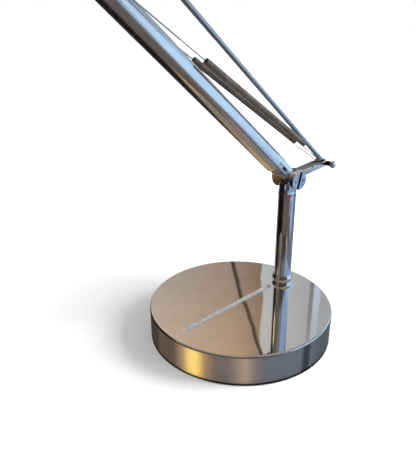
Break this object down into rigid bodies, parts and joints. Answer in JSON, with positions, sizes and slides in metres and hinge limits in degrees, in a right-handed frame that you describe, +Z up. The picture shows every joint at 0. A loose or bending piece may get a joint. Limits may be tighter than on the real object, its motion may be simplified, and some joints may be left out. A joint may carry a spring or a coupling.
{
  "type": "architect lamp",
  "caption": "Chrome desk lamp with a weighted round base, a swivelling post head, two spring balanced parallel arms and a tilting bell shade with a push switch.",
  "frame": {"origin": "centre of the base's underside, on the table", "axes": "+Z up, -X the way the arms reach at rest, the arms' plane is parallel to XZ"},
  "size_m": [0.8092, 0.2, 0.5138],
  "materials": {
    "chrome": "polished plating",
    "cast_iron": "rough casting",
    "pad": "matte",
    "brass": "aged, satin",
    "steel": "turned",
    "black_steel": "blackened, satin",
    "spring_steel": "dull wire",
    "casting": "matte casting",
    "polished_aluminium": "polished",
    "white_plastic": "matte",
    "black_plastic": "matte",
    "porcelain": "glazed",
    "glass": "frosted"
  },
  "bodies": {
    "base": {"base_cover": "chrome", "base_weight": "cast_iron", "base_pad": "pad", "base_nut": "brass", "cord_inlet_bush": "black_plastic", "post_stud": "steel", "post_tube": "chrome", "post_collar": "chrome", "swivel_bush": "black_plastic"},
    "swivel": {"swivel_head": "chrome", "lever_plate_near": "chrome", "lever_plate_far": "chrome", "lever_rivets": "steel", "pivot_screw": "chrome", "pivot_washers": "white_plastic", "lever_pin": "black_steel", "lever_pin_cap": "chrome"},
    "pivot_wheel": {"pivot_wheel": "brass"},
    "lower_arm": {"lower_tube": "chrome", "lower_root_fitting": "casting", "lower_tip_fitting": "casting", "lower_cross_pins": "steel", "lower_anchor_pin": "steel"},
    "lower_rod": {"lower_rod": "chrome"},
    "lower_springs": {"lower_spring_near": "spring_steel", "lower_spring_far": "spring_steel"},
    "lower_links": {"lower_links": "steel"},
    "elbow": {"elbow_plate_near": "chrome", "elbow_plate_far": "chrome", "elbow_spacers": "steel", "elbow_pins": "chrome", "elbow_washers": "white_plastic", "elbow_screw": "chrome"},
    "elbow_wheel": {"elbow_wheel": "brass"},
    "upper_arm": {"upper_tube": "chrome", "upper_root_fitting": "casting", "upper_tip_fitting": "casting", "upper_cross_pins": "steel", "upper_anchor_pin": "steel"},
    "upper_rod": {"upper_rod": "chrome"},
    "upper_springs": {"upper_spring_near": "spring_steel", "upper_spring_far": "spring_steel"},
    "upper_links": {"upper_links": "steel"},
    "head_bracket": {"head_plate_near": "chrome", "head_plate_far": "chrome", "head_block": "casting", "head_pins": "chrome", "head_washers": "white_plastic"},
    "yoke": {"tilt_yoke": "chrome"},
    "head": {"tilt_screw": "chrome", "housing_cap": "polished_aluminium", "housing": "polished_aluminium", "shade": "polished_aluminium", "socket": "porcelain", "socket_ring": "porcelain", "bulb_cap": "brass", "bulb_glass": "glass", "switch_bush": "black_plastic"},
    "tilt_wheel": {"tilt_wheel": "brass"},
    "switch_button": {"switch_button": "black_plastic"}
  },
  "joints": [
    {"name": "post_swivel", "type": "hinge", "parent": "base", "child": "swivel", "pos_m": [0.07312, 0.01073, 0.1626], "axis": [0, 0, 1], "range_deg": [-170, 170]},
    {"name": "pivot_wheel_turn", "type": "hinge", "parent": "swivel", "child": "pivot_wheel", "pos_m": [0.07312, 0.01073, 0.1626], "axis": [0, 1, 0], "continuous": true},
    {"name": "lower_arm_lift", "type": "hinge", "parent": "swivel", "child": "lower_arm", "pos_m": [0.07312, 0.01073, 0.1626], "axis": [0, 1, 0], "range_deg": [-18, 36]},
    {"name": "lower_rod_swing", "type": "hinge", "parent": "swivel", "child": "lower_rod", "pos_m": [0.12662, 0.01073, 0.1717], "axis": [0, 1, 0], "range_deg": [-18.5, 36.5]},
    {"name": "lower_spring_swing", "type": "hinge", "parent": "swivel", "child": "lower_springs", "pos_m": [0.12662, 0.01073, 0.1717], "axis": [0, 1, 0], "range_deg": [-16.82, 33.13], "deforming": ["lower_spring_near", "lower_spring_far"]},
    {"name": "lower_link_swing", "type": "hinge", "parent": "lower_arm", "child": "lower_links", "pos_m": [-0.15467, 0.01073, 0.36842], "axis": [0, 1, 0], "range_deg": [-3.87, 2.18]},
    {"name": "elbow_level", "type": "hinge", "parent": "lower_arm", "child": "elbow", "pos_m": [-0.22367, 0.01073, 0.43077], "axis": [0, 1, 0], "range_deg": [-36.5, 18.5]},
    {"name": "elbow_wheel_turn", "type": "hinge", "parent": "elbow", "child": "elbow_wheel", "pos_m": [-0.21567, 0.01073, 0.47477], "axis": [0, 1, 0], "continuous": true},
    {"name": "upper_arm_lift", "type": "hinge", "parent": "elbow", "child": "upper_arm", "pos_m": [-0.21567, 0.01073, 0.47477], "axis": [0, 1, 0], "range_deg": [-16, 34]},
    {"name": "upper_rod_swing", "type": "hinge", "parent": "elbow", "child": "upper_rod", "pos_m": [-0.19967, 0.01073, 0.50877], "axis": [0, 1, 0], "range_deg": [-16.5, 34.5]},
    {"name": "upper_spring_swing", "type": "hinge", "parent": "elbow", "child": "upper_springs", "pos_m": [-0.19967, 0.01073, 0.50877], "axis": [0, 1, 0], "range_deg": [-15.32, 32], "deforming": ["upper_spring_near", "upper_spring_far"]},
    {"name": "upper_link_swing", "type": "hinge", "parent": "upper_arm", "child": "upper_links", "pos_m": [-0.44441, 0.01073, 0.45073], "axis": [0, 1, 0], "range_deg": [-3, 1.68]},
    {"name": "head_level", "type": "hinge", "parent": "upper_arm", "child": "head_bracket", "pos_m": [-0.5737, 0.01073, 0.43714], "axis": [0, 1, 0], "range_deg": [-34.5, 16.5]},
    {"name": "head_swivel", "type": "hinge", "parent": "head_bracket", "child": "yoke", "pos_m": [-0.5977, 0.01073, 0.43314], "axis": [0, 0, 1], "range_deg": [-90, 90]},
    {"name": "head_tilt", "type": "hinge", "parent": "yoke", "child": "head", "pos_m": [-0.5977, 0.01073, 0.40714], "axis": [0, 1, 0], "range_deg": [-35, 75]},
    {"name": "tilt_wheel_turn", "type": "hinge", "parent": "head", "child": "tilt_wheel", "pos_m": [-0.5977, 0.01073, 0.40714], "axis": [0, 1, 0], "continuous": true},
    {"name": "switch_press", "type": "slide", "parent": "head", "child": "switch_button", "axis": [0, 0, -1], "range_m": [0, 0.0025], "stiffness_N_per_m": 400}
  ],
  "couplings": [
    {"joint": "lower_rod_swing", "follows": "lower_arm_lift", "ratio": 1},
    {"joint": "elbow_level", "follows": "lower_arm_lift", "ratio": -1},
    {"joint": "lower_spring_swing", "follows": "lower_arm_lift", "ratio": 0.9065},
    {"joint": "lower_link_swing", "follows": "lower_arm_lift", "ratio": -0.0935},
    {"joint": "upper_rod_swing", "follows": "upper_arm_lift", "ratio": 1},
    {"joint": "head_level", "follows": "upper_arm_lift", "ratio": -1},
    {"joint": "upper_spring_swing", "follows": "upper_arm_lift", "ratio": 0.9265},
    {"joint": "upper_link_swing", "follows": "upper_arm_lift", "ratio": -0.0735}
  ]
}
